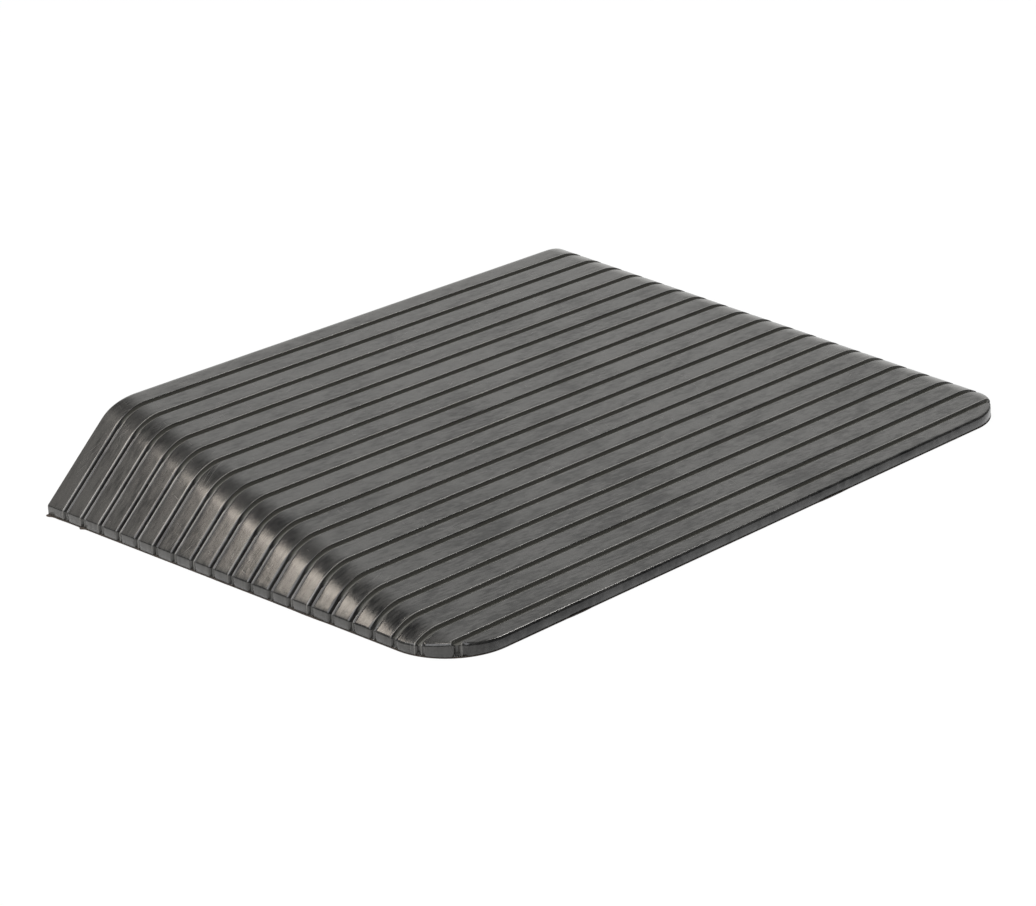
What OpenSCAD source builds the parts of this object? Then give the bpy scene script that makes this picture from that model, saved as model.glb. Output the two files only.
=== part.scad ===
// Rubber threshold ramp: a moulded wedge with a ribbed deck, sloping side wings
// and a low lip, pressed over a recycled-rubber core.
// Millimetres, +Z up. The toe edge faces -Y and the upright rear face +Y.
// The origin is on the floor under the middle of the ramp.

/* [Overall size] */

// Width on the floor, side to side
ramp_w = 870; // [780:1:1000]
// Length on the floor, from the toe edge to the rear face
ramp_l = 592; // [540:1:720]
// Height of the crest, the step the ramp serves
ramp_h = 100; // [85:1:115]

/* [Deck] */

// Height of the deck at the toe edge
toe_h = 12; // [11.5:0.5:16]
// Radius of the crest, where the deck turns down into the rear face
crest_r = 4; // [2:0.5:9]

/* [Side wings] */

// Height of the upright lip round the sides and the toe
lip_h = 11; // [8:0.5:11]
// Slope of the side wings from the floor
wing_angle = 42.5; // [36:0.5:50]
// Radius of the bend between the deck and each wing
bend_r = 64; // [45:1:80]
// Radius of the two toe corners seen from above
corner_r = 70; // [50:1:90]

/* [Grooves] */

// Distance from one groove to the next
groove_pitch = 28.55; // [26:0.05:36]
// Distance from the toe edge to the middle of the first groove
toe_band = 21; // [18:0.5:30]
// Least distance from the middle of the last groove to the rear face
rear_band = 24; // [20:0.5:30]
// Width of a groove
groove_w = 6.5; // [4:0.5:9]
// Depth of a groove, square to the surface
groove_d = 4; // [2:0.5:5]

/* [Skin] */

// Thickness of the dense outer rubber
skin_t = 10; // [8:0.5:12]
// Depth of the toe that is dense rubber right through
toe_solid = 45; // [35:1:60]

/* [Core] */

// Bond line between the skin and the core
bond_gap = 0.2; // [0.1:0.05:0.4]
// Thickness of the core left over a pocket
core_web = 14; // [10:1:18]
// Thickness of the ribs between pockets
rib_t = 22; // [20:1:28]
// Pockets in one row across the ramp
pocket_cols = 9; // [8:1:10]
// Rows of pockets along the ramp
pocket_rows = 5; // [4:1:6]
// Distance from the toe edge to the first row of pockets
pocket_start = 175; // [170:5:220]
// Distance from each side of the ramp to the outermost pockets
pocket_side = 50; // [45:1:70]

/* [Grip strips] */

// Length of a strip, across the ramp
strip_l = 700; // [500:10:740]
// Width of a strip
strip_w = 16; // [10:1:18]
// Thickness of a strip, which lies flush in the underside
strip_t = 2; // [1.5:0.5:3]
// Clearance round a strip in its recess
strip_fit = 0.3; // [0.2:0.1:0.6]
// Distance from the toe edge to the middle of the toe strip
toe_strip_y = 110; // [85:5:140]

/* [Hidden] */

$fn = 96;

// Overshoot of a cutting shape past the face that it cuts
over = 5;
// Reach below the floor of a shape that hollows from underneath
under = 30;
// How far a bend or crest cutter stands out past the faces that it blends
reach = 20;
// How far a bend stands proud of just touching the deck and wing, which gives it clean edges
bend_proud = 0.1;

toe_y = -ramp_l / 2;
rear_y = ramp_l / 2;
side_x = ramp_w / 2;

// The deck runs from the toe edge up to a line that just touches the crest
crest_y = rear_y - crest_r;
crest_z = ramp_h - crest_r;
crest_run = crest_y - toe_y;
crest_rise = crest_z - toe_h;
deck_angle = atan2(crest_rise, crest_run) + asin(crest_r / norm([crest_run, crest_rise]));

groove_count = floor((ramp_l - toe_band - rear_band) / groove_pitch) + 1;

// Height above the deck corner to which the toe and its corners are first made
toe_top = toe_h + corner_r * tan(deck_angle) + over;

pocket_x = side_x - pocket_side;
pocket_y0 = toe_y + pocket_start;
pocket_y1 = rear_y - skin_t - core_web;
pocket_w = (2 * pocket_x - (pocket_cols - 1) * rib_t) / pocket_cols;
pocket_l = (pocket_y1 - pocket_y0 - (pocket_rows - 1) * rib_t) / pocket_rows;

// Middle of the rib behind a given row of pockets
function rib_y(row) = pocket_y0 + row * (pocket_l + rib_t) - rib_t / 2;

// Places of the strips along the ramp: two of them lie under ribs
toe_strip_mid = toe_y + toe_strip_y;
middle_strip_mid = rib_y(floor(pocket_rows / 2));
rear_strip_mid = rib_y(pocket_rows - 1);

// Height of the deck above the floor, moved in by inset, at a place along the ramp
function deck_z(y, inset) = toe_h + (y - toe_y) * tan(deck_angle) - inset / cos(deck_angle);

// Height of the lip once every face is moved in by inset
function lip_z(inset) = lip_h - inset * (1 - sin(wing_angle)) / cos(wing_angle);

// Run of a wing, seen from above, from the lip up to a height
function wing_run(top, inset) = (top - lip_z(inset)) / tan(wing_angle);

// Lay a profile drawn in Y and Z along X, centred
module along_x(length) {
  rotate([90, 0, 90])
    linear_extrude(height = length, center = true)
      children();
}

// Straight sides: the lip with a wing sloping in above it
module side_flanks(inset, drop) {
  top = ramp_h + over;
  run = wing_run(top, inset);
  x = side_x - inset;
  length = ramp_l - corner_r + over;
  translate([0, rear_y + over, 0])
    rotate([90, 0, 0])
      linear_extrude(height = length)
        polygon([
          [-x, -drop], [-x, lip_z(inset)], [-x + run, top],
          [x - run, top], [x, lip_z(inset)], [x, -drop]
        ]);
}

// Toe between its two corners, with the same slope above the lip
module toe_flank(inset, drop) {
  y = toe_y + inset;
  back = toe_y + corner_r;
  run = wing_run(toe_top, inset);
  along_x(ramp_w - 2 * corner_r)
    polygon([
      [y, -drop], [y, lip_z(inset)], [y + run, toe_top],
      [back, toe_top], [back, -drop]
    ]);
}

// One toe corner, the same section turned about the corner's centre
module toe_corner(inset, drop, turn) {
  r = corner_r - inset;
  run = wing_run(toe_top, inset);
  rotate([0, 0, turn])
    rotate_extrude(angle = 90)
      polygon([
        [0, -drop], [r, -drop], [r, lip_z(inset)],
        [r - run, toe_top], [0, toe_top]
      ]);
}

// Everything inside the lip and wings, before the deck is cut
module flanks(inset, drop) {
  side_flanks(inset, drop);
  toe_flank(inset, drop);
  translate([-side_x + corner_r, toe_y + corner_r, 0])
    toe_corner(inset, drop, 180);
  translate([side_x - corner_r, toe_y + corner_r, 0])
    toe_corner(inset, drop, 270);
}

// Everything under the deck and in front of the rear face
module under_deck(inset, drop) {
  front = toe_y - over;
  back = rear_y - inset;
  along_x(ramp_w + 2 * over)
    polygon([
      [front, -drop - over], [front, deck_z(front, inset)],
      [back, deck_z(back, inset)], [back, -drop - over]
    ]);
}

// Section of the waste outside a rounded edge of radius r that turns by an angle
module edge_waste(r, turn) {
  far = r + reach;
  half = far / cos(turn / 2);
  difference() {
    polygon([
      [0, 0], [far, 0],
      [half * cos(turn / 2), half * sin(turn / 2)],
      [far * cos(turn), far * sin(turn)]
    ]);
    circle(r = r);
  }
}

// Waste outside the crest
module crest_waste(inset) {
  r = crest_r - inset;
  if (r > 0)
    along_x(ramp_w + 2 * over)
      translate([crest_y, crest_z])
        edge_waste(r, 90 + deck_angle);
}

// Waste outside the bend on the -X side, whose axis follows the edge of deck and wing
module bend_waste(inset) {
  deck_out = [0, -sin(deck_angle), cos(deck_angle)];
  wing_out = [-sin(wing_angle), 0, cos(wing_angle)];
  turn = acos(deck_out * wing_out);
  axis = cross(deck_out, wing_out) / sin(turn);
  square_to = cross(axis, deck_out);
  depth = bend_r - bend_proud;
  z = deck_z(0, depth);
  x = -side_x + (z - lip_h + depth / cos(wing_angle)) / tan(wing_angle);
  multmatrix([
    [deck_out[0], square_to[0], axis[0], x],
    [deck_out[1], square_to[1], axis[1], 0],
    [deck_out[2], square_to[2], axis[2], z],
    [0, 0, 0, 1]
  ])
    linear_extrude(height = 2 * ramp_l, center = true)
      edge_waste(bend_r - inset, turn);
}

// The ramp's form with sharp edges, every face moved in by inset, reaching drop below the floor
module sharp_wedge(inset, drop) {
  intersection() {
    flanks(inset, drop);
    under_deck(inset, drop);
  }
}

// The same form with its crest and bends rounded
module wedge(inset, drop) {
  difference() {
    sharp_wedge(inset, drop);
    crest_waste(inset);
    bend_waste(inset);
    mirror([1, 0, 0])
      bend_waste(inset);
  }
}

// Slots across the ramp that reach in to the groove floors
module groove_waste() {
  difference() {
    for (k = [0 : groove_count - 1])
      translate([-side_x - over, toe_y + toe_band + k * groove_pitch - groove_w / 2, -over])
        cube([ramp_w + 2 * over, groove_w, ramp_h + 2 * over]);
    wedge(groove_d, under);
  }
}

// Space inside the skin, behind the solid toe
module hollow(inset, drop, front_gap) {
  intersection() {
    wedge(inset, drop);
    translate([-side_x, toe_y + toe_solid + front_gap, -drop])
      cube([ramp_w, ramp_l, ramp_h + drop]);
  }
}

// Pockets in the underside of the core, their roofs following the deck and wings
module pockets() {
  intersection() {
    sharp_wedge(skin_t + core_web, under);
    difference() {
      translate([-pocket_x, pocket_y0, -over])
        cube([2 * pocket_x, pocket_y1 - pocket_y0 + over, ramp_h + over]);
      for (c = [1 : pocket_cols - 1])
        translate([-pocket_x + c * (pocket_w + rib_t) - rib_t, toe_y, -2 * over])
          cube([rib_t, ramp_l, ramp_h + 3 * over]);
      for (r = [1 : pocket_rows - 1])
        translate([-side_x, rib_y(r) - rib_t / 2, -2 * over])
          cube([ramp_w, rib_t, ramp_h + 3 * over]);
    }
  }
}

// One strip, or with a fit its recess, at a place along the ramp
module strip(y, fit, drop) {
  translate([-strip_l / 2 - fit, y - strip_w / 2 - fit, -drop])
    cube([strip_l + 2 * fit, strip_w + 2 * fit, strip_t + drop]);
}

// Dense outer rubber: ribbed deck, wings, lip and rear wall
module tread_skin() {
  color([0.13, 0.13, 0.13])
    difference() {
      wedge(0, 0);
      groove_waste();
      hollow(skin_t, under, 0);
    }
}

// Recycled-rubber core, bonded into the skin
module crumb_core() {
  color([0.22, 0.19, 0.17])
    difference() {
      hollow(skin_t + bond_gap, 0, bond_gap);
      pockets();
      strip(toe_strip_mid, strip_fit, over);
      strip(middle_strip_mid, strip_fit, over);
      strip(rear_strip_mid, strip_fit, over);
    }
}

// Soft strip that grips the floor near the toe
module toe_grip_strip() {
  color([0.3, 0.3, 0.32])
    strip(toe_strip_mid, 0, 0);
}

// Soft strip that grips the floor under the middle
module middle_grip_strip() {
  color([0.3, 0.3, 0.32])
    strip(middle_strip_mid, 0, 0);
}

// Soft strip that grips the floor near the rear
module rear_grip_strip() {
  color([0.3, 0.3, 0.32])
    strip(rear_strip_mid, 0, 0);
}

tread_skin();
crumb_core();
toe_grip_strip();
middle_grip_strip();
rear_grip_strip();
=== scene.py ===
"""Looks of a moulded rubber threshold ramp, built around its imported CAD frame.

The file is laid out as an add-on and run as a script. Sizes are in metres. The toe edge
faces -Y, the upright rear face +Y, and "along" is always a distance from the toe edge.
"""

import math

import bmesh
import bpy
from bpy.props import FloatProperty, FloatVectorProperty, IntProperty, PointerProperty
from mathutils import Matrix, Vector


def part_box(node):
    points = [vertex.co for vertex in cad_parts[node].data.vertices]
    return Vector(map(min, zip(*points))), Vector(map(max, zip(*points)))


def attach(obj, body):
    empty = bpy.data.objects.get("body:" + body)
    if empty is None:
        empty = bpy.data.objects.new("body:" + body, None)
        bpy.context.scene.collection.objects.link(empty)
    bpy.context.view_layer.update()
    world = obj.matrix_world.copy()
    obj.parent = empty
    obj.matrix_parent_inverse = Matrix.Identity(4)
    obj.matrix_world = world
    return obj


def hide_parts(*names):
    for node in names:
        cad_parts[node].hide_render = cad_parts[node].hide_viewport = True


bl_info = {
    "name": "Threshold Ramp",
    "version": (1, 0, 0),
    "blender": (4, 5, 0),
    "location": "View3D > Sidebar > Ramp",
    "description": "Builds a ribbed rubber threshold ramp around its CAD frame",
    "category": "Object",
}

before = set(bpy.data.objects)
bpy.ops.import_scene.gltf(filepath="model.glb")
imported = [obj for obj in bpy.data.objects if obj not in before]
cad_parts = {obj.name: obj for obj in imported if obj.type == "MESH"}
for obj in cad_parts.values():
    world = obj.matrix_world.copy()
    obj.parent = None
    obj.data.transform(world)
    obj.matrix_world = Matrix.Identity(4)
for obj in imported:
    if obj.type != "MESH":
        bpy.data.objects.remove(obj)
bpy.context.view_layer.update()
SKIN_LOW, SKIN_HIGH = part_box("tread_skin")
UP = Vector((0.0, 0.0, 1.0))
LEFT = Vector((-1.0, 0.0, 0.0))
AHEAD = Vector((0.0, -1.0, 0.0))
NEAR = 1e-6
CREASE_ANGLE = math.radians(50)

# The points of a section gather by their run in metres and by their turn
EASE_RUN = 0.05
EASE_TURN = 2.0

# Rows of a groove's mesh, as shares of its half width from the middle out
GROOVE_ROWS = (
    0.06, 0.12, 0.17, 0.21, 0.25, 0.30, 0.35, 0.39, 0.42, 0.445, 0.47,
    0.495, 0.53, 0.57, 0.62, 0.68, 0.74, 0.81, 0.87, 0.93, 1.0,
)

# Sections of a groove's two sides on the deck and on a wing, as shares of its half width and depth
TOE_WALL = (
    (0.0, 1.0), (0.37, 1.0), (0.40, 0.85), (0.43, 0.50), (0.46, 0.22), (0.49, 0.11),
    (0.54, 0.05), (0.61, 0.015), (0.68, 0.0), (1.0, 0.0),
)
REAR_WALL = (
    (0.0, 1.0), (0.17, 1.0), (0.21, 0.95), (0.30, 0.30), (0.34, 0.08), (0.39, 0.0), (1.0, 0.0),
)
TOE_WING = (
    (0.0, 1.0), (0.14, 0.97), (0.22, 0.70), (0.30, 0.25), (0.35, 0.14), (0.42, 0.155),
    (0.50, 0.23), (0.61, 0.36), (0.69, 0.31), (0.81, 0.12), (0.92, 0.02), (1.0, 0.0),
)
REAR_WING = (
    (0.0, 1.0), (0.05, 0.92), (0.12, 0.65), (0.21, 0.33), (0.30, 0.15),
    (0.42, 0.045), (0.54, 0.01), (0.66, 0.0), (1.0, 0.0),
)

# Rims beside a groove on the deck, as shares of its half width and heights around a level
RIM_LEVEL = 0.3
TOE_RIM = (
    (0.0, 0.3), (0.63, 0.3), (0.68, 0.5), (0.745, 0.0), (0.78, 0.5), (0.83, 0.3), (1.0, 0.3),
)
REAR_RIM = (
    (0.0, 0.3), (0.34, 0.3), (0.41, 0.9), (0.47, 0.7),
    (0.61, 0.0), (0.70, 0.1), (0.84, 0.3), (1.0, 0.3),
)

# Painted highlight on a groove's edges over its half width, and painted reflection on the upright side lips
EDGE_HIGHLIGHT_SECTION = ((0.0, 0.0), (0.33, 0.0), (0.38, 1.0), (0.47, 1.0), (0.53, 0.0), (1.0, 0.0))
SIDE_LIP_REFLECTION = 0.4

# The inward direction's Z on a wing, on the deck, on a steep face and on an upright one
WING_LEVEL = -0.74
DECK_LEVEL = -0.96
STEEP_LEVEL = -0.25
UPRIGHT_LEVEL = -0.1

# Lanes of the wear: pace across the ramp, and steps between grooves and between their sides
LANE_PACE = 5.0
LANE_STEP = 7.3
LANE_SIDE = 3.1

# Reach of the flash's upper edge, as a share of the lower one's
FLASH_TAPER = 0.8

# Bloom: share of its broad patches, and layers of stains as times longer, turn, times finer and share
PATCH_SHARE = 0.23
STAINS = ((3.3, 0.12, 6.0, 0.33), (6.2, -0.1, 36.0, 0.50))

# Scuffs: turn of each set of scratches, and how many times longer than wide they are
SCRATCHES = ((0.35, 20.0), (-0.6, 16.0), (1.3, 14.0))

# Tread finish: rise of the bloom mask per metre towards the rear, so that the tread is lighter towards the
# rear, and the strengths of its marks
REAR_TONE_CLIMB = 0.5
GRIT_TONE = 0.35
# Strength of the painted highlight on the groove edges and of the painted reflection on the side lips
EDGE_HIGHLIGHT_STRENGTH = 0.8
PIT_DEPTH = 0.1
SCUFF_ROUGHNESS = 0.15
DUST_ROUGHNESS = 0.3
POLISH = 0.40
POLISH_ROUGHNESS = 0.22
TREAD_SHINE = 0.36

# Soft lights of the studio: way from the ramp, and half angles in degrees of full light and of none
LIGHT_FIELDS = {
    "panel": ((0.74, 0.53, 0.41), 15.0, 39.0),
    "overhead": ((-0.47, -0.05, 0.88), 22.0, 44.0),
    "rear": ((-0.36, 0.70, 0.62), 6.0, 28.0),
}

# Lamps of the studio: place, aim, side of the square lamp and colour
LAMPS = {
    "wing_lamp": ((-0.72, 0.69, 0.88), (-0.38, -0.20, 0.05), 0.36, (1.0, 0.89, 0.77)),
    "top_lamp": ((-0.07, 0.40, 2.0), (-0.35, 0.0, 0.06), 0.4, (1.0, 0.93, 0.84)),
    "key_lamp": ((2.3, 0.05, 3.15), (-0.25, -0.15, 0.03), 0.5, (1.0, 0.97, 0.93)),
}
FLOOR_REACH = 20.0
FLOOR_TONE = (0.82, 0.82, 0.82, 1.0)

# Nubs of flash: place from the middle of the toe edge, reach and width
FLASH_NUBS = (
    (Vector((-0.435, 0.589, 0.0)), 0.003, 0.005),
    (Vector((-0.435, 0.535, 0.0)), 0.003, 0.003),
    (Vector((0.43, 0.043, 0.0)), 0.0025, 0.004),
)


def property_maker(kind, **style):
    """A function that makes properties of one kind from a name, a description and a default."""
    def make(name, description, default):
        return kind(name=name, description=description, default=default, **style)
    return make


length_property = property_maker(FloatProperty, subtype="DISTANCE", unit="LENGTH", precision=4)
angle_property = property_maker(FloatProperty, subtype="ANGLE", unit="ROTATION")
colour_property = property_maker(FloatVectorProperty, subtype="COLOR", size=3, min=0.0)
power_property = property_maker(FloatProperty, unit="POWER")


class RampSizes(bpy.types.PropertyGroup):
    """Sizes of the moulded form that the frame's boxes don't give."""

    toe_height: length_property("Toe height", "Height of the deck at the toe edge", 0.012)
    lip_height: length_property("Lip height", "Height of the upright lip", 0.011)
    wing_angle: angle_property("Wing angle", "Slope of the side wings", math.radians(42.5))
    bend_radius: length_property("Bend radius", "Bend between deck and wing", 0.064)
    corner_radius: length_property("Corner radius", "Toe corners seen from above", 0.070)
    crest_radius: length_property("Crest radius", "Round between deck and rear face", 0.009)
    wing_end_radius: length_property("Wing end radius", "Round at the rear end of a wing", 0.0018)
    edge_radius: length_property("Edge radius", "Round between the lip and the top", 0.0032)
    edge_inset: length_property("Edge inset", "Where the round's mesh starts, in from the lip", 0.0042)
    foot_radius: length_property("Foot radius", "Round at the bottom of the lip", 0.0008)
    groove_pitch: length_property("Groove pitch", "One groove to the next", 0.02855)
    toe_band: length_property("Toe band", "Toe edge to the first groove", 0.021)
    groove_count: IntProperty(name="Grooves", description="Grooves across the deck", default=20)
    groove_reach: length_property("Groove reach", "Half the width of a groove with its rims", 0.0072)
    groove_depth: length_property("Groove depth", "Depth square to the surface", 0.004)
    rim_height: length_property("Rim height", "Fine raised rim along a groove's edges", 0.00045)
    unevenness: length_property("Unevenness", "Waviness of the moulded surface", 0.0005)
    skin_thickness: length_property("Skin thickness", "Dense rubber over the core", 0.010)
    toe_solid: length_property("Solid toe", "Depth of toe with no core in it", 0.045)


class FlashSizes(bpy.types.PropertyGroup):
    """Sizes of the ragged flash left where the mould closed on the floor line."""

    thickness: length_property("Thickness", "Height of the flash over the floor", 0.0009)
    reach: length_property("Reach", "Usual reach out from the lip", 0.0002)
    ragged: length_property("Ragged", "Extra reach of the torn places", 0.0014)
    root: length_property("Root", "How far the flash runs in under the lip", 0.0015)
    step: length_property("Step", "Spacing of the points along the edge", 0.0018)


class RubberFinish(bpy.types.PropertyGroup):
    """Linear colours of the rubbers."""

    tread_dark: colour_property("Tread, dark", "Deepest tone of the tread", (0.0045, 0.0047, 0.0049))
    tread_light: colour_property("Tread, light", "Bloomed tone of the tread", (0.0190, 0.0188, 0.0178))
    tread_scuff: colour_property("Tread, scuffed", "Tone of a scuff", (0.062, 0.061, 0.058))
    groove_dust: colour_property("Groove dust", "Dust that lies in the grooves", (0.070, 0.069, 0.060))
    # Painted highlight on the groove edges and painted reflection on the side lips
    worn_edge: colour_property("Edge and lip highlight", "Painted highlight on the groove edges and side lips", (0.150, 0.146, 0.135))
    crumb_dark: colour_property("Crumb, dark", "Black crumb of the core", (0.016, 0.013, 0.011))
    crumb_light: colour_property("Crumb, brown", "Brown crumb of the core", (0.075, 0.052, 0.036))
    grip_tone: colour_property("Grip strip", "Soft strip under the ramp", (0.055, 0.056, 0.060))


class StageSetup(bpy.types.PropertyGroup):
    """Where the camera stands and how strong the lights are. A light's tone may be over one."""

    camera_place: FloatVectorProperty(
        name="Camera", description="Place of the camera", subtype="TRANSLATION", unit="LENGTH",
        default=(-2.2321, -2.1718, 1.2159),
    )
    yaw: angle_property("Yaw", "Turn of the view from +Y towards +X", math.radians(45.2487))
    pitch: angle_property("Pitch", "Tilt of the view below the horizon", math.radians(21.1551))
    roll: angle_property("Roll", "Turn of the picture", math.radians(2.0807))
    lens: FloatProperty(name="Lens", description="Focal length in mm", default=109.385, unit="CAMERA")
    sky_tone: colour_property("Sky", "Soft light from all round", (0.13, 0.13, 0.128))
    panel: colour_property("Panel", "Panel at the rear right, mirrored by the deck", (1.02, 1.01, 0.98))
    overhead: colour_property("Overhead", "Soft light overhead on the left", (3.6, 3.6, 3.7))
    rear: colour_property("Rear", "Soft light from the rear left", (0.76, 0.73, 0.68))
    wing_lamp: power_property("Wing lamp", "Lamp that the wing mirrors", 3.6)
    top_lamp: power_property("Top lamp", "Lamp overhead", 6.0)
    key_lamp: power_property("Key lamp", "Lamp that the edges of the grooves mirror", 28.0)
    floor_glow: FloatProperty(
        name="Floor glow", description="Share of plain white in the floor's look", default=0.97,
        subtype="FACTOR", min=0.0, max=1.0,
    )


SETTINGS = {
    "ramp_sizes": RampSizes,
    "ramp_flash": FlashSizes,
    "ramp_finish": RubberFinish,
    "ramp_stage": StageSetup,
}


# The moulded form

def spread(first, last, count):
    """count evenly spaced values from first to last."""
    return [first + (last - first) * i / (count - 1) for i in range(count)]


class RampForm:
    """The ramp's smooth outer form, with no grooves: points and normals from the sizes."""

    # Counts of points and rows in the mesh
    side_steps = 26
    deck_steps = 12
    bend_samples = 40
    edge_steps = 5
    crest_steps = 10
    corner_steps = 21
    hollow_rows = 9
    hollow_steps = 10

    # Share of a groove's depth on the lip, and of its reach that other rows keep off
    lip_press = 0.8
    groove_clear = 1.1

    # Least widths and clearances in metres
    least_flank = 0.02
    deck_lead = 0.004
    hollow_lead = 0.01
    crest_clear = 0.002

    # Rows between two grooves, as shares of the pitch
    band_shares = (0.27, 0.4, 0.5, 0.6, 0.73)

    def __init__(self, sizes):
        self.sizes = sizes
        self.length = SKIN_HIGH.y - SKIN_LOW.y
        self.height = SKIN_HIGH.z - SKIN_LOW.z
        self.side = (SKIN_HIGH.x - SKIN_LOW.x) / 2
        run = self.length - sizes.crest_radius
        rise = self.height - sizes.crest_radius - sizes.toe_height
        self.deck_angle = math.atan2(rise, run) + math.asin(sizes.crest_radius / math.hypot(run, rise))
        self.deck_slope = math.tan(self.deck_angle)
        self.wing_slope = math.tan(sizes.wing_angle)
        self.deck_normal = Vector((0.0, -math.sin(self.deck_angle), math.cos(self.deck_angle)))
        self.wing_normal = Vector((-math.sin(sizes.wing_angle), 0.0, math.cos(sizes.wing_angle)))
        self.turn = self.deck_normal.angle(self.wing_normal)
        self.bend_across = (self.wing_normal - self.deck_normal * math.cos(self.turn)).normalized()

    def deck_z(self, along, inset=0.0):
        """Height of the deck, moved in by inset."""
        return self.sizes.toe_height + along * self.deck_slope - inset / math.cos(self.deck_angle)

    def wing_x(self, z, inset=0.0):
        """Where the -X wing, moved in by inset, reaches a height."""
        foot = self.sizes.lip_height - inset / math.cos(self.sizes.wing_angle)
        return -self.side + (z - foot) / self.wing_slope

    def bend_point(self, along, angle, inset=0.0):
        """A point of the -X bend: angle 0 is where it meets the deck."""
        radius = self.sizes.bend_radius
        normal = self.deck_normal * math.cos(angle) + self.bend_across * math.sin(angle)
        reach = normal * (radius - inset)
        axis_along = along - reach.y
        axis_z = self.deck_z(axis_along, radius)
        axis_x = self.wing_x(axis_z, radius)
        return Vector((axis_x + reach.x, along, axis_z + reach.z)), normal

    def edge_x(self, along, inset):
        """Where the -X outline, moved in by inset, lies at a place along the ramp."""
        radius = self.sizes.corner_radius
        if along >= radius:
            return -self.side + inset
        back = radius - along
        return -self.side + radius - math.sqrt(max((radius - inset) ** 2 - back ** 2, 0.0))

    def edge_outward(self, along):
        """Level direction out of the -X outline at a place along its inset edge."""
        radius = self.sizes.corner_radius
        if along >= radius:
            return LEFT
        centre = Vector((-self.side + radius, radius, 0.0))
        edge = Vector((self.edge_x(along, self.sizes.edge_inset), along, 0.0))
        return (edge - centre).normalized()

    def flank_path(self, along, start_x, end_x, inset=0.0):
        """Closely spaced points of one section from start_x in over wing and bend to end_x."""
        path = []
        for i in range(self.bend_samples + 1):
            path.append(self.bend_point(along, self.turn * (1 - i / self.bend_samples), inset))
        wing_end = path[0][0]
        if start_x < wing_end.x:
            foot = wing_end.z - (wing_end.x - start_x) * self.wing_slope
            path.insert(0, (Vector((start_x, along, foot)), self.wing_normal))
        path.append((Vector((end_x, along, self.deck_z(along, inset))), self.deck_normal))
        after = next(i for i, p in enumerate(path) if p[0].x > start_x + NEAR)
        return [blend_samples(path[after - 1], path[after], start_x)] + path[after:]

    def flank(self, along):
        """Evenly eased points of one section, from the lip's round in to the flat deck."""
        start_x = self.edge_x(along, self.sizes.edge_inset)
        deck_x = self.bend_point(along, 0.0)[0].x
        end_x = max(deck_x, start_x + self.least_flank) + self.deck_lead
        return ease(self.flank_path(along, start_x, end_x), self.side_steps)

    def lip(self, top, normal, outward):
        """Points from the foot of the lip up to its round, below a point of the top."""
        s = self.sizes
        slope = normal.dot(outward) / normal.z
        tilt = math.atan(slope)
        radius = s.edge_radius
        touch = radius * (1 - math.sin(tilt))
        centre_z = top.z - slope * (s.edge_inset - touch) - radius * math.cos(tilt)
        level = Vector((top.x, top.y, 0.0))
        wall = level + outward * s.edge_inset
        foot_z = s.foot_radius
        points = [
            (level + outward * (s.edge_inset - s.foot_radius), outward * self.lip_press),
            (wall + UP * foot_z, outward * self.lip_press),
        ]
        for i, angle in enumerate(spread(math.pi / 2, tilt, self.edge_steps)):
            reach = outward * (s.edge_inset - radius + radius * math.sin(angle))
            bend = outward * math.sin(angle) + UP * math.cos(angle)
            press = self.lip_press + (1 - self.lip_press) * i / (self.edge_steps - 1)
            points.append((level + reach + UP * (centre_z + radius * math.cos(angle)), bend * press))
        return points

    def row(self, along):
        """One section of the whole ramp, as (point, normal) from the -X foot to the +X foot."""
        flank = self.flank(along)
        lip = self.lip(flank[0][0], flank[0][1], self.edge_outward(along))
        half = lip + flank
        deck_x = flank[-1][0].x
        z = self.deck_z(along)
        for i in range(1, self.deck_steps):
            half.append((Vector((deck_x * (1 - i / self.deck_steps), along, z)), self.deck_normal))
        middle = [(Vector((0.0, along, z)), self.deck_normal)]
        return half + middle + [mirrored(p) for p in reversed(half)]

    def crest_radius_at(self, normal):
        """Radius of the rear edge: full on the deck, easing to a small round on the wings."""
        s = self.sizes
        tilt = min(self.deck_normal.angle(Vector((normal.x, 0.0, normal.z)), math.pi) / self.turn, 1.0)
        share = 1 - tilt * tilt * (3 - 2 * tilt)
        return s.wing_end_radius + (s.crest_radius - s.wing_end_radius) * share

    def crest_row(self, angle):
        """The section turned over the rear edge by an angle from 0 to a right angle."""
        points = []
        plain = self.row(self.length - self.sizes.crest_radius)
        for column, (_, normal) in enumerate(plain):
            radius = self.crest_radius_at(normal)
            along = self.length - radius * (1 - math.sin(angle))
            point, normal = self.row(along)[column]
            level = Vector((normal.x, 0.0, normal.z)).normalized()
            lowered = point - level * radius * (1 - math.cos(angle))
            turned = normal * math.cos(angle) + Vector((0.0, math.sin(angle), 0.0))
            points.append((lowered, turned.normalized()))
        return points

    def rows_along(self):
        """Places of the sections: close together across each groove and round each corner."""
        s = self.sizes
        across = [s.groove_reach * share for share in GROOVE_ROWS]
        grooves = [s.toe_band + k * s.groove_pitch for k in range(s.groove_count)]
        places = []
        for middle in grooves:
            places += [middle] + [middle + d for d in across] + [middle - d for d in across]
        clear = s.groove_reach * self.groove_clear
        turns = spread(0.0, math.pi / 2, self.corner_steps)
        corner = s.corner_radius - s.edge_inset
        wanted = [s.edge_inset + corner * (1 - math.cos(t)) for t in turns]
        bands = grooves + [self.length]
        for k, middle in enumerate(grooves):
            if middle > s.corner_radius - s.groove_pitch:
                band = bands[k + 1] - middle
                wanted += [middle + band * share for share in self.band_shares]
        last = self.length - s.crest_radius - self.crest_clear
        for place in wanted:
            if place <= last and all(abs(place - g) > clear for g in grooves):
                places.append(place)
        return sorted(places)


def blend_samples(a, b, x):
    """The sample between two others at a given x."""
    span = b[0].x - a[0].x
    share = (x - a[0].x) / span if span else 0.0
    return a[0].lerp(b[0], share), a[1].lerp(b[1], share).normalized()


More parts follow.
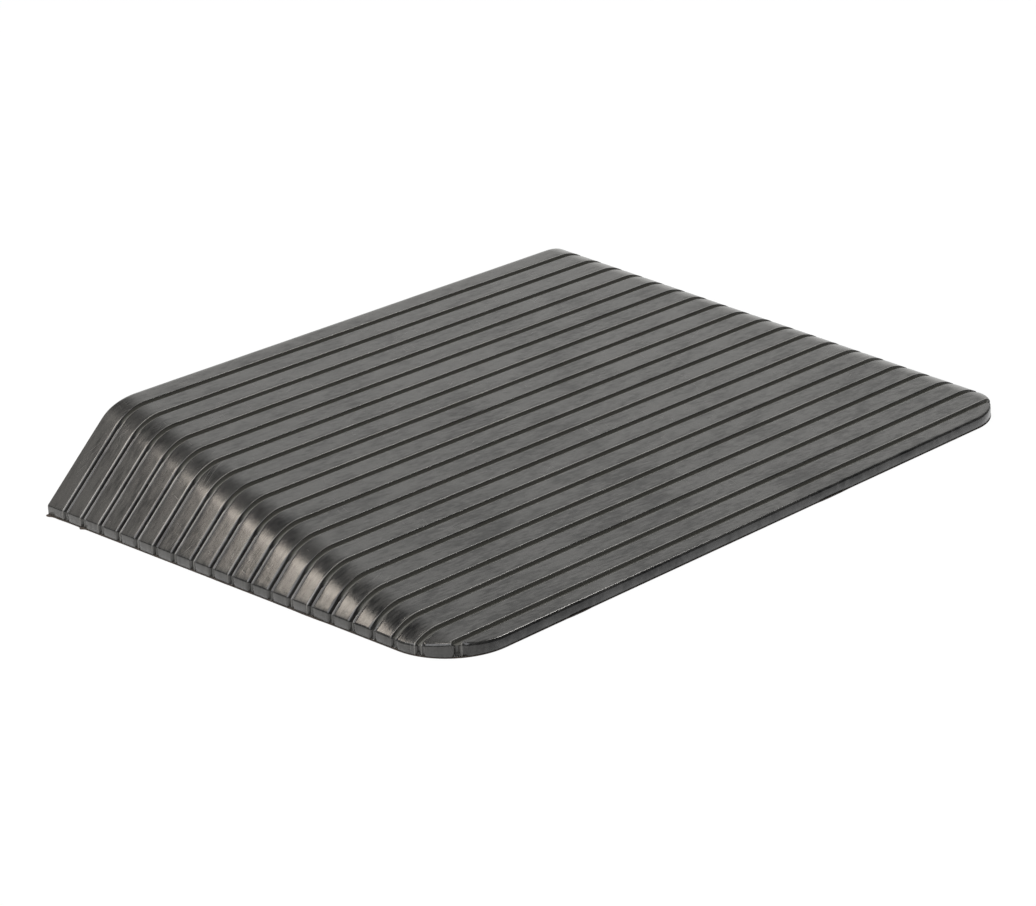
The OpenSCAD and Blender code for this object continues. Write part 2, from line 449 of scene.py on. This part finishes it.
def ease(path, steps):
    """Resample a path so that its points gather where it bends."""
    spread_of = [0.0]
    for (p, n), (q, m) in zip(path, path[1:]):
        spread_of.append(spread_of[-1] + (q - p).length / EASE_RUN + n.angle(m, 0.0) * EASE_TURN)
    out = []
    at = 0
    for i in range(steps):
        goal = spread_of[-1] * i / (steps - 1)
        while at < len(path) - 2 and spread_of[at + 1] < goal:
            at += 1
        gap = spread_of[at + 1] - spread_of[at]
        share = min((goal - spread_of[at]) / gap, 1.0) if gap else 0.0
        (p, n), (q, m) = path[at], path[at + 1]
        out.append((p.lerp(q, share), n.lerp(m, share).normalized()))
    return out


def mirrored(sample):
    """A sample on the other side of the ramp."""
    point, normal = sample
    return Vector((-point.x, point.y, point.z)), Vector((-normal.x, normal.y, normal.z))


def placed(name, data):
    """A new object in the scene."""
    thing = bpy.data.objects.new(name, data)
    bpy.context.collection.objects.link(thing)
    return thing


class SkinMesh:
    """Gathers the skin's vertices with the values that the groove rule reads."""

    def __init__(self):
        self.bm = bmesh.new()
        self.along = self.bm.verts.layers.float.new("along")
        self.inward = self.bm.verts.layers.float_vector.new("inward")

    def add(self, point, normal, along):
        """A vertex of the outer face at a point given by its distance from the toe."""
        vert = self.bm.verts.new((point.x, point.y + SKIN_LOW.y, point.z))
        vert[self.along] = along
        vert[self.inward] = -normal
        return vert

    def grid(self, rows):
        """Faces between neighbouring rows of vertices."""
        for upper, lower in zip(rows, rows[1:]):
            for i in range(len(upper) - 1):
                self.bm.faces.new((upper[i], upper[i + 1], lower[i + 1], lower[i]))


def outer_faces(skin, form):
    """The deck, wings, lip, toe and rear face. Returns the loop on the floor."""
    places = form.rows_along()
    rows = [[skin.add(p, n, a) for p, n in form.row(a)] for a in places]
    for angle in spread(0.0, math.pi / 2, form.crest_steps):
        rows.append([skin.add(p, n, form.length) for p, n in form.crest_row(angle)])
    skin.grid(rows)
    skin.bm.faces.new(rows[-1])
    lip_size = 2 + form.edge_steps
    front = form.row(places[0])
    strips = [list(reversed(rows[0][:lip_size]))]
    for p, n in front[lip_size + 1:-lip_size - 1]:
        strips.append([skin.add(q, m, 0.0) for q, m in reversed(form.lip(p, n, AHEAD))])
    strips.append(rows[0][-lip_size:])
    tops = rows[0][lip_size:-lip_size]
    skin.grid([[top] + strip for top, strip in zip(tops, strips)])
    toe = [strip[-1] for strip in strips[1:-1]]
    return [row[0] for row in reversed(rows)] + toe + [row[-1] for row in rows]


def inner_faces(skin, form):
    """The hollow that the core fills. Returns its loop on the floor."""
    s = form.sizes
    inset = s.skin_thickness
    still = Vector()
    wall_x = -form.side + inset
    rows = []
    for along in spread(s.toe_solid, form.length - inset, form.hollow_rows):
        deck_x = form.bend_point(along, 0.0, inset)[0].x
        path = form.flank_path(along, wall_x, deck_x + form.hollow_lead, inset)
        path = ease(path, form.hollow_steps)
        half = [(Vector((wall_x, along, 0.0)), UP)] + path
        section = half + [mirrored(p) for p in reversed(half)]
        rows.append([skin.add(p, still, 0.0) for p, _ in section])
    skin.grid(rows)
    skin.bm.faces.new(rows[0])
    skin.bm.faces.new(rows[-1])
    return [row[0] for row in reversed(rows)] + [row[-1] for row in rows]


def close_floor(skin, outer, inner):
    """The flat rim between the lip and the core, on the floor."""
    edges = []
    for loop in (outer, inner):
        for a, b in zip(loop, loop[1:] + loop[:1]):
            edges.append(skin.bm.edges.get((a, b)) or skin.bm.edges.new((a, b)))
    bmesh.ops.triangle_fill(skin.bm, edges=edges, use_beauty=True)


def floor_outline(form, step):
    """Evenly spaced (point, outward) pairs round the ramp on the floor, from rear left to rear right."""
    radius = form.sizes.corner_radius
    side = form.side
    straight = form.length - radius
    arc = radius * math.pi / 2
    half = []
    count = round((straight + arc) / step)
    for i in range(count + 1):
        walked = (straight + arc) * i / count
        if walked <= straight:
            half.append((Vector((-side, form.length - walked, 0.0)), LEFT))
        else:
            turn = (walked - straight) / radius
            outward = Vector((-math.cos(turn), -math.sin(turn), 0.0))
            half.append((Vector((-side + radius, radius, 0.0)) + outward * radius, outward))
    toe_run = 2 * (side - radius)
    count = round(toe_run / step)
    start = -side + radius
    toe = [(Vector((start + toe_run * i / count, 0.0, 0.0)), AHEAD) for i in range(1, count)]
    return half + toe + [mirrored(p) for p in reversed(half)]


def flash_mesh(form, sizes):
    """A thin fin along the floor, with the values that the flash rule reads."""
    bm = bmesh.new()
    outward = bm.verts.layers.float_vector.new("outward")
    extra = bm.verts.layers.float.new("extra")
    rings = []
    for point, way in floor_outline(form, sizes.step):
        nub = sum(
            reach * math.exp(-((point - middle).length / width) ** 2)
            for middle, reach, width in FLASH_NUBS
        )
        place = point + Vector((0.0, SKIN_LOW.y, 0.0))
        root = place - way * sizes.root
        corners = (
            (root, 0.0, 0.0), (place, 0.0, 1.0),
            (place, sizes.thickness, FLASH_TAPER), (root, sizes.thickness, 0.0),
        )
        ring = []
        for base, height, share in corners:
            vert = bm.verts.new(base + UP * height)
            vert[outward] = way * share
            vert[extra] = nub
            ring.append(vert)
        rings.append(ring)
    for a, b in zip(rings, rings[1:]):
        for i in range(4):
            bm.faces.new((a[i], a[(i + 1) % 4], b[(i + 1) % 4], b[i]))
    bm.faces.new(rings[0])
    bm.faces.new(rings[-1])
    bmesh.ops.recalc_face_normals(bm, faces=bm.faces)
    return bm


# Nodes

class Nodes:
    """Adds and links the nodes of one tree."""

    def __init__(self, tree):
        self.tree = tree

    def add(self, kind, links=(), **settings):
        """A node with its settings and its inputs, which are sockets or plain values."""
        node = self.tree.nodes.new(kind)
        for key, value in settings.items():
            setattr(node, key, value)
        for key, value in dict(links).items():
            if isinstance(value, bpy.types.NodeSocket):
                self.tree.links.new(value, node.inputs[key])
            else:
                node.inputs[key].default_value = value
        return node

    def socket(self, label, kind, way="INPUT"):
        """A named input or output of a group."""
        return self.tree.interface.new_socket(label, in_out=way, socket_type="NodeSocket" + kind)

    def math(self, operation, *values):
        """A maths node's output."""
        return self.add("ShaderNodeMath", dict(enumerate(values)), operation=operation).outputs[0]

    def times(self, a, b):
        """The product of two values."""
        return self.math("MULTIPLY", a, b)

    def parts(self, vector):
        """The X, Y and Z of a vector."""
        return self.add("ShaderNodeSeparateXYZ", {0: vector}).outputs

    def ramp(self, value, low=0.0, high=1.0, to_low=0.0, to_high=1.0, how="SMOOTHSTEP"):
        """A value carried from one range to another."""
        node = self.add("ShaderNodeMapRange", {
            "Value": value, "From Min": low, "From Max": high, "To Min": to_low, "To Max": to_high,
        }, interpolation_type=how)
        return node.outputs[0]

    def noise(self, vector, scale, detail, roughness=0.5, distortion=0.0, **seed):
        """A noise texture's value. A seed, where there is one, is given as W."""
        node = self.add("ShaderNodeTexNoise", {
            "Vector": vector, "Scale": scale, "Detail": detail,
            "Roughness": roughness, "Distortion": distortion, **seed,
        }, noise_dimensions="4D" if seed else "3D")
        return node.outputs[0]


class MeshRule(Nodes):
    """A geometry tree that moves the vertices of a mesh, with named inputs and a value for each."""

    def __init__(self, name, values):
        super().__init__(bpy.data.node_groups.new(name, "GeometryNodeTree"))
        self.socket("Geometry", "Geometry")
        self.values = {}
        for label, value in values.items():
            kind = type(value).__name__.title()  # Float, Int or Material
            self.values[self.socket(label, kind).identifier] = value
        self.socket("Geometry", "Geometry", "OUTPUT")
        self.given = self.tree.nodes.new("NodeGroupInput").outputs

    def curve(self, value, points):
        """A value read off a drawn curve, whose points are given as (at, height)."""
        node = self.add("ShaderNodeFloatCurve", {"Value": value})
        drawn = node.mapping.curves[0].points
        while len(drawn) < len(points):
            drawn.new(0.5, 0.5)
        for point, place in zip(drawn, points):
            point.location = place
            point.handle_type = "AUTO_CLAMPED"
        node.mapping.update()
        return node.outputs[0]

    def named(self, name, kind):
        """A value stored on the vertices."""
        node = self.add("GeometryNodeInputNamedAttribute", {"Name": name}, data_type=kind)
        return node.outputs["Attribute"]

    def push(self, direction, amount, marks=()):
        """Mark the vertices, move each along a direction by an amount, then finish the tree."""
        shape = self.given["Geometry"]
        for name, value in dict(marks).items():
            marked = self.add("GeometryNodeStoreNamedAttribute", {
                "Geometry": shape, "Name": name, "Value": value,
            }, data_type="FLOAT")
            shape = marked.outputs[0]
        offset = self.add("ShaderNodeVectorMath", {0: direction, "Scale": amount}, operation="SCALE")
        moved = self.add("GeometryNodeSetPosition", {"Geometry": shape, "Offset": offset.outputs[0]})
        real = self.add("GeometryNodeRealizeInstances", {"Geometry": moved.outputs[0]})
        coat = self.add("GeometryNodeSetMaterial", {
            "Geometry": real.outputs[0], "Material": self.given["Material"],
        })
        self.add("NodeGroupOutput", {0: coat.outputs[0]})


def groove_rule(sizes):
    """The rule of the deck: rimmed grooves at an even pitch, pressed in square to the surface."""
    rule = MeshRule("Groove Rule", {
        "First Groove": sizes.toe_band,
        "Pitch": sizes.groove_pitch,
        "Grooves": sizes.groove_count,
        "Reach": sizes.groove_reach,
        "Depth": sizes.groove_depth,
        "Rim": sizes.rim_height,
        "Unevenness": sizes.unevenness,
        "Seed": 3.0,
        "Material": material("moulded_tread"),
    })
    given = rule.given
    from_first = rule.math("SUBTRACT", rule.named("along", "FLOAT"), given["First Groove"])
    nearest = rule.math("ROUND", rule.math("DIVIDE", from_first, given["Pitch"]))
    last = rule.math("SUBTRACT", given["Grooves"], 1.0)
    nearest = rule.math("MINIMUM", rule.math("MAXIMUM", nearest, 0.0), last)
    off_middle = rule.math("SUBTRACT", from_first, rule.times(nearest, given["Pitch"]))
    away = rule.math("DIVIDE", rule.math("ABSOLUTE", off_middle), given["Reach"])
    on_rear = rule.math("GREATER_THAN", off_middle, 0.0)
    on_toe = rule.math("SUBTRACT", 1.0, on_rear)
    inward = rule.named("inward", "FLOAT_VECTOR")
    sideways, _, level = rule.parts(inward)
    lying = rule.ramp(level, WING_LEVEL, DECK_LEVEL)
    steep = rule.math("SUBTRACT", 1.0, lying)
    sunk = rim = 0.0
    for side, wall, wing, ridge in (
        (on_toe, TOE_WALL, TOE_WING, TOE_RIM), (on_rear, REAR_WALL, REAR_WING, REAR_RIM),
    ):
        for section, share in ((wall, lying), (wing, steep)):
            part = rule.times(rule.curve(away, section), side)
            sunk = rule.math("MULTIPLY_ADD", part, share, sunk)
        rim = rule.math("MULTIPLY_ADD", rule.curve(away, ridge), side, rim)
    depth = rule.times(sunk, given["Depth"])
    place = rule.add("GeometryNodeInputPosition").outputs[0]
    across = rule.times(rule.parts(place)[0], LANE_PACE)
    lane = rule.times(nearest, LANE_STEP)
    lane = rule.math("MULTIPLY_ADD", rule.math("SIGN", off_middle), LANE_SIDE, lane)
    lane_place = rule.add("ShaderNodeCombineXYZ", {0: across, 1: lane}).outputs[0]
    worn = rule.noise(lane_place, scale=1.0, detail=1.0, W=given["Seed"])
    kept = rule.ramp(worn, 0.35, 0.6, to_low=0.1)
    rim = rule.math("SUBTRACT", rim, RIM_LEVEL)
    rim = rule.times(rule.times(rim, kept), given["Rim"])
    rim = rule.times(rim, lying)
    wave = rule.noise(place, scale=11.0, detail=2.0, roughness=0.45, W=given["Seed"])
    swing = rule.times(rule.math("SUBTRACT", wave, 0.5), given["Unevenness"])
    pressed = rule.math("ADD", rule.math("SUBTRACT", depth, rim), swing)
    dust = rule.times(sunk, lying)
    upright = rule.ramp(level, STEEP_LEVEL, UPRIGHT_LEVEL, how="LINEAR")
    # Painted highlight along the groove edges, where the rim is kept
    edge = rule.times(rule.curve(away, EDGE_HIGHLIGHT_SECTION), rule.math("POWER", kept, 2.0))
    # Painted reflection on the upright lips that face the sides
    lip_reflection = rule.times(rule.math("ABSOLUTE", sideways), SIDE_LIP_REFLECTION)
    edge = rule.math("MAXIMUM", edge, rule.times(upright, lip_reflection))
    rule.push(inward, pressed, {"dust": dust, "edge": edge})
    return rule


def flash_rule(sizes):
    """The rule of the flash: a thin fin whose reach is ragged along the edge."""
    rule = MeshRule("Flash Rule", {
        "Reach": sizes.reach,
        "Ragged": sizes.ragged,
        "Seed": 8.0,
        "Material": material("pressed_crumb"),
    })
    given = rule.given
    place = rule.add("GeometryNodeInputPosition").outputs[0]
    torn = rule.noise(place, scale=60.0, detail=5.0, roughness=0.7, W=given["Seed"])
    places = rule.noise(place, scale=13.0, detail=1.0, W=given["Seed"])
    tear = rule.times(torn, rule.ramp(places, 0.56, 0.68, to_low=0.12))
    reach = rule.math("ADD", given["Reach"], rule.times(tear, given["Ragged"]))
    rule.push(rule.named("outward", "FLOAT_VECTOR"), rule.math("ADD", reach, rule.named("extra", "FLOAT")))
    return rule


def grown(name, bm, rule):
    """A piece made by running a mesh through a rule, as a plain mesh object."""
    mesh = bpy.data.meshes.new(name + "_base")
    bm.to_mesh(mesh)
    bm.free()
    piece = placed(name, mesh)
    modifier = piece.modifiers.new(rule.tree.name, "NODES")
    modifier.node_group = rule.tree
    for key, value in rule.values.items():
        modifier[key] = value
    graph = bpy.context.evaluated_depsgraph_get()
    made = bpy.data.meshes.new_from_object(piece.evaluated_get(graph), depsgraph=graph)
    piece.modifiers.remove(modifier)
    piece.data = made
    made.name = name
    bpy.data.meshes.remove(mesh)
    return piece


# Materials

class Shader(Nodes):
    """The nodes of a material, a shader group or the world."""

    def mix(self, share, a, b, how="MIX"):
        """A blend of two colours."""
        node = self.add("ShaderNodeMix", {0: share, 6: a, 7: b}, data_type="RGBA", blend_type=how)
        return node.outputs[2]

    def drawn_out(self, vector, longer, turn):
        """Coordinates turned about Z, so that a pattern runs some times longer along X and Z."""
        node = self.add("ShaderNodeMapping", {
            "Vector": vector, "Rotation": (0.0, 0.0, turn), "Scale": (longer, 1.0, longer),
        }, vector_type="TEXTURE")
        return node.outputs[0]


class Effect(Shader):
    """A shader group that puts out one value, with float inputs besides its coordinates."""

    def __init__(self, name, inputs, output):
        super().__init__(bpy.data.node_groups.new(name, "ShaderNodeTree"))
        self.socket("Vector", "Vector")
        for label in inputs:
            self.socket(label, "Float")
        self.socket(output, "Float", "OUTPUT")
        self.given = self.tree.nodes.new("NodeGroupInput").outputs
        self.place = self.given["Vector"]

    def put_out(self, value):
        """Link the output and hand the group over."""
        self.add("NodeGroupOutput", {0: value})
        return self.tree


def bloom_group():
    """Cloudy bloom: broad soft patches, with stains and fibres in them that are drawn out along X and Z."""
    effect = Effect("Rubber Bloom", ("Scale", "Contrast"), "Mask")
    scale = effect.given["Scale"]
    cloud = effect.noise(effect.place, scale, detail=3.0, distortion=0.4)
    both = effect.times(cloud, PATCH_SHARE)
    for longer, turn, finer, share in STAINS:
        drawn = effect.drawn_out(effect.place, longer, turn)
        fine = effect.times(scale, finer)
        stain = effect.noise(drawn, fine, detail=5.0, roughness=0.65, distortion=0.2)
        both = effect.math("MULTIPLY_ADD", stain, share, both)
    middle = effect.math("SUBTRACT", both, 0.5)
    mask = effect.math("MULTIPLY_ADD", middle, effect.given["Contrast"], 0.5)
    return effect.put_out(effect.add("ShaderNodeClamp", {"Value": mask}).outputs[0])


def scuff_group():
    """Scuffs: thin broken scratches in three directions, gathered in patches."""
    effect = Effect("Rubber Scuffs", ("Scale", "Amount"), "Mask")
    strokes = 0.0
    for turn, longer in SCRATCHES:
        drawn = effect.drawn_out(effect.place, longer, turn)
        line = effect.noise(drawn, effect.given["Scale"], detail=2.0, distortion=0.15)
        strokes = effect.math("MAXIMUM", effect.ramp(line, 0.67, 0.74), strokes)
    cloud = effect.noise(effect.place, scale=17.0, detail=3.0, roughness=0.6, distortion=0.3)
    strokes = effect.times(strokes, effect.ramp(cloud, 0.52, 0.66))
    return effect.put_out(effect.times(strokes, effect.given["Amount"]))


def speck_group():
    """Specks: small pits and dust grains, some of them only."""
    effect = Effect("Rubber Specks", ("Scale", "Share"), "Mask")
    cells = effect.add("ShaderNodeTexVoronoi", {"Vector": effect.place, "Scale": effect.given["Scale"]})
    dot = effect.ramp(cells.outputs["Distance"], 0.22, 0.10)
    pick = effect.add("ShaderNodeSeparateColor", {"Color": cells.outputs["Color"]}).outputs[0]
    chosen = effect.math("LESS_THAN", pick, effect.given["Share"])
    return effect.put_out(effect.times(dot, chosen))


def grain_group():
    """Grain: the fine unevenness that rubber takes from its mould, as a height."""
    effect = Effect("Rubber Grain", ("Scale",), "Height")
    scale = effect.given["Scale"]
    fine = effect.noise(effect.place, scale, detail=3.0, roughness=0.6)
    broad_scale = effect.times(scale, 0.12)
    broad = effect.noise(effect.place, broad_scale, detail=3.0, distortion=0.3)
    return effect.put_out(effect.math("MULTIPLY_ADD", fine, 0.05, broad))


class Rubber(Shader):
    """A rubber material with its Principled shader and the shared effects at hand."""

    def __init__(self, name):
        self.material = bpy.data.materials.new(name)
        self.material.use_nodes = True
        super().__init__(self.material.node_tree)
        self.surface = self.tree.nodes["Principled BSDF"].inputs
        self.place = self.add("ShaderNodeTexCoord").outputs["Object"]

    def effect(self, group, **values):
        """One of the shared groups, with this material's own values."""
        tree = bpy.data.node_groups.get(group) or EFFECTS[group]()
        node = self.add("ShaderNodeGroup", {"Vector": self.place, **values}, node_tree=tree)
        return node.outputs[0]

    def mark(self, name):
        """A value that the piece's vertices carry."""
        return self.add("ShaderNodeAttribute", attribute_name=name).outputs["Fac"]

    def finish(self, colour, roughness, height, depth, strength):
        """Link colour, roughness and a bump of a depth in metres."""
        bump = self.add("ShaderNodeBump", {"Height": height, "Distance": depth, "Strength": strength})
        self.tree.links.new(colour, self.surface["Base Color"])
        self.tree.links.new(roughness, self.surface["Roughness"])
        self.tree.links.new(bump.outputs[0], self.surface["Normal"])
        return self.material


EFFECTS = {
    "Rubber Bloom": bloom_group,
    "Rubber Scuffs": scuff_group,
    "Rubber Specks": speck_group,
    "Rubber Grain": grain_group,
}


def opaque(colour):
    """A colour property with its alpha."""
    return (*colour, 1.0)


def moulded_tread():
    """Dense black rubber from the mould: satin, faintly bloomed, scuffed and pitted."""
    finish = bpy.context.scene.ramp_finish
    rubber = Rubber("moulded_tread")
    bloom = rubber.effect("Rubber Bloom", Scale=12.0, Contrast=5.2)
    scuffs = rubber.effect("Rubber Scuffs", Scale=420.0, Amount=0.55)
    pits = rubber.effect("Rubber Specks", Scale=260.0, Share=0.03)
    grit = rubber.effect("Rubber Specks", Scale=170.0, Share=0.012)
    grain = rubber.effect("Rubber Grain", Scale=900.0)
    # The tread grows lighter towards the rear
    bloom = rubber.math("MULTIPLY_ADD", rubber.parts(rubber.place)[1], REAR_TONE_CLIMB, bloom)
    dust = rubber.ramp(rubber.mark("dust"), 0.04, 0.4)
    colour = rubber.mix(bloom, opaque(finish.tread_dark), opaque(finish.tread_light))
    for share, tone in (
        (scuffs, finish.tread_scuff),
        (rubber.times(grit, GRIT_TONE), finish.tread_scuff),
        # The edge mark paints a highlight on the groove edges and a reflection on the side lips
        (rubber.times(rubber.mark("edge"), EDGE_HIGHLIGHT_STRENGTH), finish.worn_edge),
        (dust, finish.groove_dust),
    ):
        colour = rubber.mix(share, colour, opaque(tone))
    polish = rubber.ramp(bloom, to_high=POLISH)
    polish = rubber.times(polish, rubber.math("SUBTRACT", 1.0, dust))
    rubber.tree.links.new(polish, rubber.surface["Coat Weight"])
    rubber.surface["Coat Roughness"].default_value = POLISH_ROUGHNESS
    rubber.surface["Specular IOR Level"].default_value = TREAD_SHINE
    rough = rubber.ramp(bloom, to_low=0.18, to_high=0.27)
    rough = rubber.math("MULTIPLY_ADD", scuffs, SCUFF_ROUGHNESS, rough)
    rough = rubber.math("MULTIPLY_ADD", dust, DUST_ROUGHNESS, rough)
    height = rubber.math("SUBTRACT", grain, rubber.times(pits, PIT_DEPTH))
    return rubber.finish(colour, rough, height, depth=0.0008, strength=0.3)


def pressed_crumb():
    """Pressed recycled crumb: coarse, matt, black and brown grains."""
    finish = bpy.context.scene.ramp_finish
    rubber = Rubber("pressed_crumb")
    bloom = rubber.effect("Rubber Bloom", Scale=30.0, Contrast=2.0)
    crumbs = rubber.effect("Rubber Specks", Scale=330.0, Share=0.5)
    grain = rubber.effect("Rubber Grain", Scale=700.0)
    share = rubber.times(rubber.math("ADD", bloom, crumbs), 0.5)
    colour = rubber.mix(share, opaque(finish.crumb_dark), opaque(finish.crumb_light))
    rough = rubber.ramp(bloom, to_low=0.75, to_high=0.92)
    height = rubber.math("MULTIPLY_ADD", crumbs, 0.6, grain)
    return rubber.finish(colour, rough, height, depth=0.0012, strength=0.6)


def soft_grip():
    """Soft matt rubber sheet."""
    tone = Vector(bpy.context.scene.ramp_finish.grip_tone)
    rubber = Rubber("soft_grip")
    bloom = rubber.effect("Rubber Bloom", Scale=40.0, Contrast=1.6)
    specks = rubber.effect("Rubber Specks", Scale=700.0, Share=0.2)
    grain = rubber.effect("Rubber Grain", Scale=1500.0)
    colour = rubber.mix(bloom, opaque(tone * 0.7), opaque(tone * 1.25))
    rough = rubber.ramp(bloom, to_low=0.6, to_high=0.75)
    height = rubber.math("MULTIPLY_ADD", specks, 0.4, grain)
    return rubber.finish(colour, rough, height, depth=0.0003, strength=0.5)


def material(name):
    """A material of the ramp, made the first time that it is asked for."""
    makers = {"moulded_tread": moulded_tread, "pressed_crumb": pressed_crumb, "soft_grip": soft_grip}
    return bpy.data.materials.get(name) or makers[name]()


# Operators

class RAMP_OT_tread_skin(bpy.types.Operator):
    """Mould the dense outer rubber: ribbed deck, wings, lip, toe and rear wall"""

    bl_idname = "threshold_ramp.tread_skin"
    bl_label = "Tread Skin"

    def execute(self, context):
        sizes = context.scene.ramp_sizes
        form = RampForm(sizes)
        skin = SkinMesh()
        outer = outer_faces(skin, form)
        inner = inner_faces(skin, form)
        close_floor(skin, outer, inner)
        bmesh.ops.remove_doubles(skin.bm, verts=skin.bm.verts, dist=NEAR)
        bmesh.ops.recalc_face_normals(skin.bm, faces=skin.bm.faces)
        piece = grown("ramp_tread_skin", skin.bm, groove_rule(sizes))
        piece.data.shade_smooth()
        piece.data.set_sharp_from_angle(angle=CREASE_ANGLE)
        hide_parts("tread_skin")
        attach(piece, "root")
        return {"FINISHED"}


class RAMP_OT_mould_flash(bpy.types.Operator):
    """Leave the thin ragged flash where the mould closed, along the floor"""

    bl_idname = "threshold_ramp.mould_flash"
    bl_label = "Mould Flash"

    def execute(self, context):
        sizes = context.scene.ramp_flash
        bm = flash_mesh(RampForm(context.scene.ramp_sizes), sizes)
        piece = grown("ramp_mould_flash", bm, flash_rule(sizes))
        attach(piece, "root")
        return {"FINISHED"}


class RAMP_OT_underside(bpy.types.Operator):
    """Give the core and its grip strips their rubber"""

    bl_idname = "threshold_ramp.underside"
    bl_label = "Core and Strips"

    def execute(self, context):
        for node, rubber in (
            ("crumb_core", "pressed_crumb"),
            ("toe_grip_strip", "soft_grip"),
            ("middle_grip_strip", "soft_grip"),
            ("rear_grip_strip", "soft_grip"),
        ):
            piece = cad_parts[node]
            piece.data.materials.clear()
            piece.data.materials.append(material(rubber))
        return {"FINISHED"}


class RAMP_OT_stage(bpy.types.Operator):
    """Lay the floor, hang the lights and set up the camera"""

    bl_idname = "threshold_ramp.stage"
    bl_label = "Stage"

    def execute(self, context):
        setup = context.scene.ramp_stage
        lay_floor(setup)
        light_world(context.scene, setup)
        hang_lamps(setup)
        place_camera(context.scene, setup)
        context.scene.view_settings.view_transform = "Standard"
        return {"FINISHED"}


# Stage

def lay_floor(setup):
    """A pale floor that shows plain white to the camera but keeps the ramp's shadow."""
    mesh = bpy.data.meshes.new("floor")
    corners = [(x * FLOOR_REACH, y * FLOOR_REACH, 0.0) for x, y in ((-1, -1), (1, -1), (1, 1), (-1, 1))]
    mesh.from_pydata(corners, [], [(0, 1, 2, 3)])
    floor = placed("floor", mesh)
    pale = bpy.data.materials.new("floor_white")
    pale.use_nodes = True
    pale.node_tree.nodes.clear()
    nodes = Shader(pale.node_tree)
    lit = nodes.add("ShaderNodeBsdfDiffuse", {"Color": FLOOR_TONE})
    plain = nodes.add("ShaderNodeEmission")
    path = nodes.add("ShaderNodeLightPath")
    seen = nodes.math("MAXIMUM", path.outputs["Is Camera Ray"], path.outputs["Is Glossy Ray"])
    share = nodes.times(seen, setup.floor_glow)
    mixed = nodes.add("ShaderNodeMixShader", {0: share, 1: lit.outputs[0], 2: plain.outputs[0]})
    nodes.add("ShaderNodeOutputMaterial", {"Surface": mixed.outputs[0]})
    mesh.materials.append(pale)


def light_world(scene, setup):
    """Soft light from all round, with the studio's brighter fields added to it."""
    world = bpy.data.worlds.new("studio")
    world.use_nodes = True
    nodes = Shader(world.node_tree)
    sky = world.node_tree.nodes["Background"]
    direction = nodes.add("ShaderNodeTexCoord").outputs["Generated"]
    tone = opaque(setup.sky_tone)
    for name, (way, inner, outer) in LIGHT_FIELDS.items():
        way = Vector(way).normalized()
        towards = nodes.add("ShaderNodeVectorMath", {0: direction, 1: way}, operation="DOT_PRODUCT")
        limits = (math.cos(math.radians(outer)), math.cos(math.radians(inner)))
        share = nodes.ramp(towards.outputs["Value"], *limits)
        tone = nodes.mix(share, tone, opaque(getattr(setup, name)), "ADD")
    world.node_tree.links.new(tone, sky.inputs["Color"])
    scene.world = world


def hang_lamps(setup):
    """Warm lamps that the wing and its bend mirror, and a key lamp for the edges of the grooves."""
    for name, (place, aim, side, colour) in LAMPS.items():
        data = bpy.data.lights.new(name, "AREA")
        data.shape = "SQUARE"
        data.size = side
        data.energy = getattr(setup, name)
        data.color = colour
        lamp = placed(name, data)
        turn = (Vector(aim) - Vector(place)).to_track_quat("-Z", "Y").to_matrix().to_4x4()
        lamp.matrix_world = Matrix.Translation(place) @ turn


def place_camera(scene, setup):
    """The camera where the photograph was taken from."""
    ahead = Vector((
        math.sin(setup.yaw) * math.cos(setup.pitch),
        math.cos(setup.yaw) * math.cos(setup.pitch),
        -math.sin(setup.pitch),
    ))
    level = Vector((math.cos(setup.yaw), -math.sin(setup.yaw), 0.0))
    down = ahead.cross(level)
    right = level * math.cos(setup.roll) + down * math.sin(setup.roll)
    up = level * math.sin(setup.roll) - down * math.cos(setup.roll)
    turn = Matrix((right, up, -ahead)).transposed().to_4x4()
    data = bpy.data.cameras.new("photo_camera")
    data.lens = setup.lens
    data.sensor_width = 36.0
    data.sensor_fit = "HORIZONTAL"
    camera = placed("photo_camera", data)
    camera.matrix_world = Matrix.Translation(setup.camera_place) @ turn
    scene.camera = camera


class RAMP_PT_sidebar(bpy.types.Panel):
    """Lists the ramp's sizes and the operators that build it"""

    bl_idname = "RAMP_PT_sidebar"
    bl_label = "Threshold Ramp"
    bl_space_type = "VIEW_3D"
    bl_region_type = "UI"
    bl_category = "Ramp"

    def draw(self, context):
        for name, group in SETTINGS.items():
            box = self.layout.box()
            for key in group.__annotations__:
                box.prop(getattr(context.scene, name), key)
        for operator in OPERATORS:
            self.layout.operator(operator.bl_idname)


OPERATORS = (RAMP_OT_tread_skin, RAMP_OT_mould_flash, RAMP_OT_underside, RAMP_OT_stage)
CLASSES = (*SETTINGS.values(), *OPERATORS, RAMP_PT_sidebar)


def register():
    """Add the classes and their settings."""
    for cls in CLASSES:
        bpy.utils.register_class(cls)
    for name, group in SETTINGS.items():
        setattr(bpy.types.Scene, name, PointerProperty(type=group))


def unregister():
    """Take the settings and classes away again."""
    for name in SETTINGS:
        delattr(bpy.types.Scene, name)
    for cls in reversed(CLASSES):
        bpy.utils.unregister_class(cls)


def main():
    """Build the ramp and its stage."""
    register()
    bpy.ops.threshold_ramp.tread_skin()
    bpy.ops.threshold_ramp.mould_flash()
    bpy.ops.threshold_ramp.underside()
    bpy.ops.threshold_ramp.stage()


if __name__ == "__main__":
    main()
